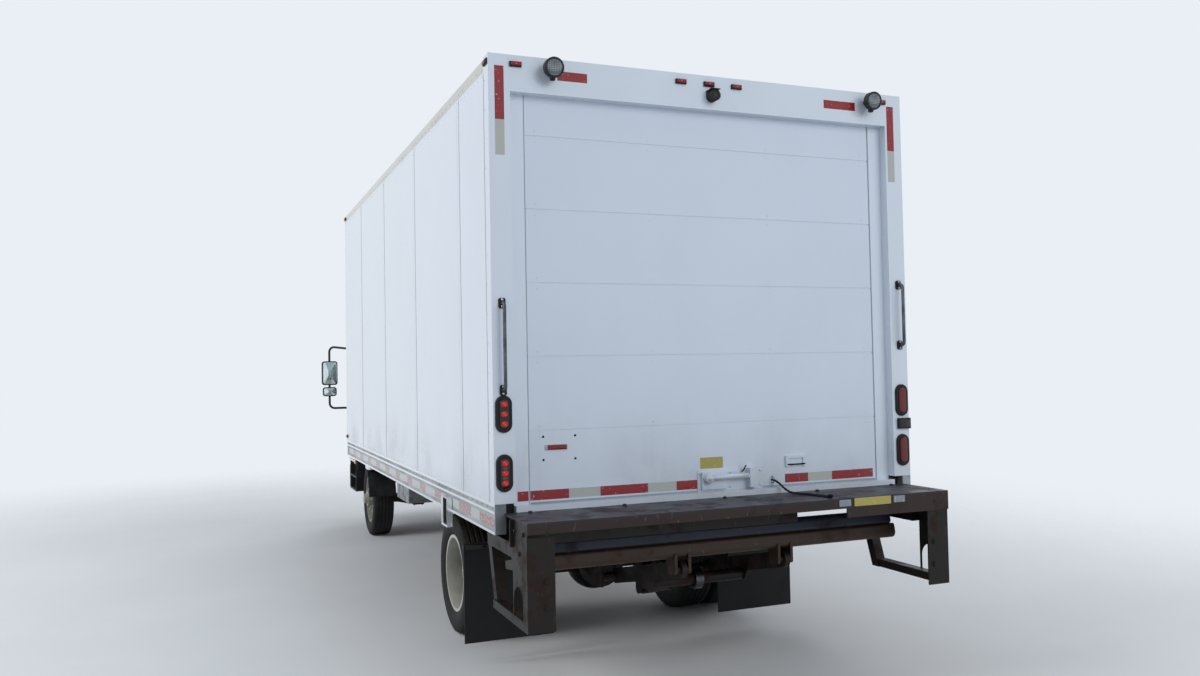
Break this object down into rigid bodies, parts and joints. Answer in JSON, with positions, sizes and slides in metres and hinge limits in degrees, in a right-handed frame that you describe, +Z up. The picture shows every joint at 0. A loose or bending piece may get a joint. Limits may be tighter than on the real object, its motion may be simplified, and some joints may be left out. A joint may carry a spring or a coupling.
{
  "type": "box truck",
  "caption": "Low-cab box truck with a roll-up rear door, twin rear wheels and a tuck-under liftgate folded below the rear sill.",
  "frame": {"origin": "on the ground under the middle of the truck's overall length and width", "axes": "+X points forward, +Y to the truck's left, +Z up"},
  "size_m": [8.015, 2.66, 3.4279],
  "materials": {
    "white_paint": "glossy white paint",
    "white_sheet": "glossy white sheet",
    "aluminium": "dull mill aluminium",
    "black_steel": "satin black paint",
    "cast_iron": "rough",
    "rusty_steel": "worn dark steel with rust",
    "platform_metal": "dirty dark metal",
    "rod_chrome": "polished",
    "floor_wood": "worn planks",
    "wheel_steel": "off-white paint",
    "tyre": "worn",
    "rubber": "matt",
    "glass": "tinted",
    "red_lens": "glossy",
    "clear_lens": "glossy",
    "black_plastic": "matt",
    "seat_fabric": "woven"
  },
  "bodies": {
    "truck": {"box_floor": "floor_wood", "floor_bearers": "black_steel", "box_sills": "black_steel", "bottom_rails": "aluminium", "side_walls": "white_paint", "top_rails": "aluminium", "roof_panel": "white_sheet", "front_wall": "white_sheet", "rear_frame": "white_paint", "roll_up_door": "white_paint", "door_latch": "white_paint", "pull_strap": "rubber", "tail_lamps": "red_lens", "roof_lamps": "red_lens", "mud_flaps": "rubber", "frame_rails": "black_steel", "frame_crossmembers": "black_steel", "engine_block": "cast_iron", "fuel_tank": "aluminium", "battery_box": "aluminium", "exhaust_muffler": "rusty_steel", "drive_shaft": "black_steel", "front_axle_beam": "black_steel", "rear_axle": "black_steel", "leaf_springs": "black_steel", "dock_plate": "rusty_steel", "side_guards": "rusty_steel", "lift_frame": "rusty_steel", "front_bumper": "black_steel"},
    "cab": {"cab_floor": "black_steel", "cab_back_panel": "white_paint", "cab_sides": "white_paint", "cab_roof": "white_paint", "cab_front_panel": "white_paint", "grille": "black_plastic", "cab_glass": "glass", "front_fenders": "black_plastic", "dashboard": "black_plastic", "steering_wheel": "black_plastic", "seats": "seat_fabric", "headlamps": "clear_lens", "mirrors": "black_plastic"},
    "knuckle_left": {"steering_knuckle_left": "black_steel"},
    "front_wheel_left": {"front_wheel_left": "wheel_steel", "front_tyre_left": "tyre"},
    "rear_wheels_left": {"rear_wheels_left": "wheel_steel", "rear_tyres_left": "tyre"},
    "door_left": {"door_left": "white_paint", "door_glass_left": "glass"},
    "knuckle_right": {"steering_knuckle_right": "black_steel"},
    "front_wheel_right": {"front_wheel_right": "wheel_steel", "front_tyre_right": "tyre"},
    "rear_wheels_right": {"rear_wheels_right": "wheel_steel", "rear_tyres_right": "tyre"},
    "door_right": {"door_right": "white_paint", "door_glass_right": "glass"},
    "liftgate": {"lift_arms": "rusty_steel", "folded_platform": "platform_metal"},
    "lift_cylinder": {"lift_cylinder": "rusty_steel"},
    "lift_rod": {"lift_rod": "rod_chrome"}
  },
  "joints": [
    {"name": "steer_left", "type": "hinge", "parent": "truck", "child": "knuckle_left", "pos_m": [2.7925, 0.74, 0.405], "axis": [0, 0, 1], "range_deg": [-40, 40]},
    {"name": "front_wheel_left_spin", "type": "hinge", "parent": "knuckle_left", "child": "front_wheel_left", "pos_m": [2.7925, 0.833, 0.405], "axis": [0, 1, 0], "continuous": true},
    {"name": "rear_wheels_left_spin", "type": "hinge", "parent": "truck", "child": "rear_wheels_left", "pos_m": [-1.6825, 0.815, 0.405], "axis": [0, 1, 0], "continuous": true},
    {"name": "door_left_swing", "type": "hinge", "parent": "cab", "child": "door_left", "pos_m": [3.7005, 1.02, 1.215], "axis": [0, 0, -1], "range_deg": [0, 70]},
    {"name": "steer_right", "type": "hinge", "parent": "truck", "child": "knuckle_right", "pos_m": [2.7925, -0.74, 0.405], "axis": [0, 0, 1], "range_deg": [-40, 40]},
    {"name": "front_wheel_right_spin", "type": "hinge", "parent": "knuckle_right", "child": "front_wheel_right", "pos_m": [2.7925, -0.833, 0.405], "axis": [0, 1, 0], "continuous": true},
    {"name": "rear_wheels_right_spin", "type": "hinge", "parent": "truck", "child": "rear_wheels_right", "pos_m": [-1.6825, -0.815, 0.405], "axis": [0, 1, 0], "continuous": true},
    {"name": "door_right_swing", "type": "hinge", "parent": "cab", "child": "door_right", "pos_m": [3.7005, -1.02, 1.215], "axis": [0, 0, 1], "range_deg": [0, 70]},
    {"name": "cab_tilt", "type": "hinge", "parent": "truck", "child": "cab", "pos_m": [3.8725, 0, 0.74], "axis": [0, 1, 0], "range_deg": [0, 45]},
    {"name": "lift_lower", "type": "hinge", "parent": "truck", "child": "liftgate", "pos_m": [-2.8725, 0, 0.54], "axis": [0, -1, 0], "range_deg": [0, 37]},
    {"name": "cylinder_swing", "type": "hinge", "parent": "truck", "child": "lift_cylinder", "pos_m": [-2.6325, 0, 0.39], "axis": [0, -1, 0], "range_deg": [0, 23.19]},
    {"name": "rod_slide", "type": "slide", "parent": "lift_cylinder", "child": "lift_rod", "axis": [0.9638, 0, -0.2665], "range_m": [0, 0.0799]}
  ],
  "couplings": [
    {"joint": "steer_right", "follows": "steer_left", "ratio": 1},
    {"joint": "cylinder_swing", "follows": "lift_lower", "ratio": 0.624},
    {"joint": "rod_slide", "follows": "lift_lower", "m_per_rad": 0.123}
  ]
}
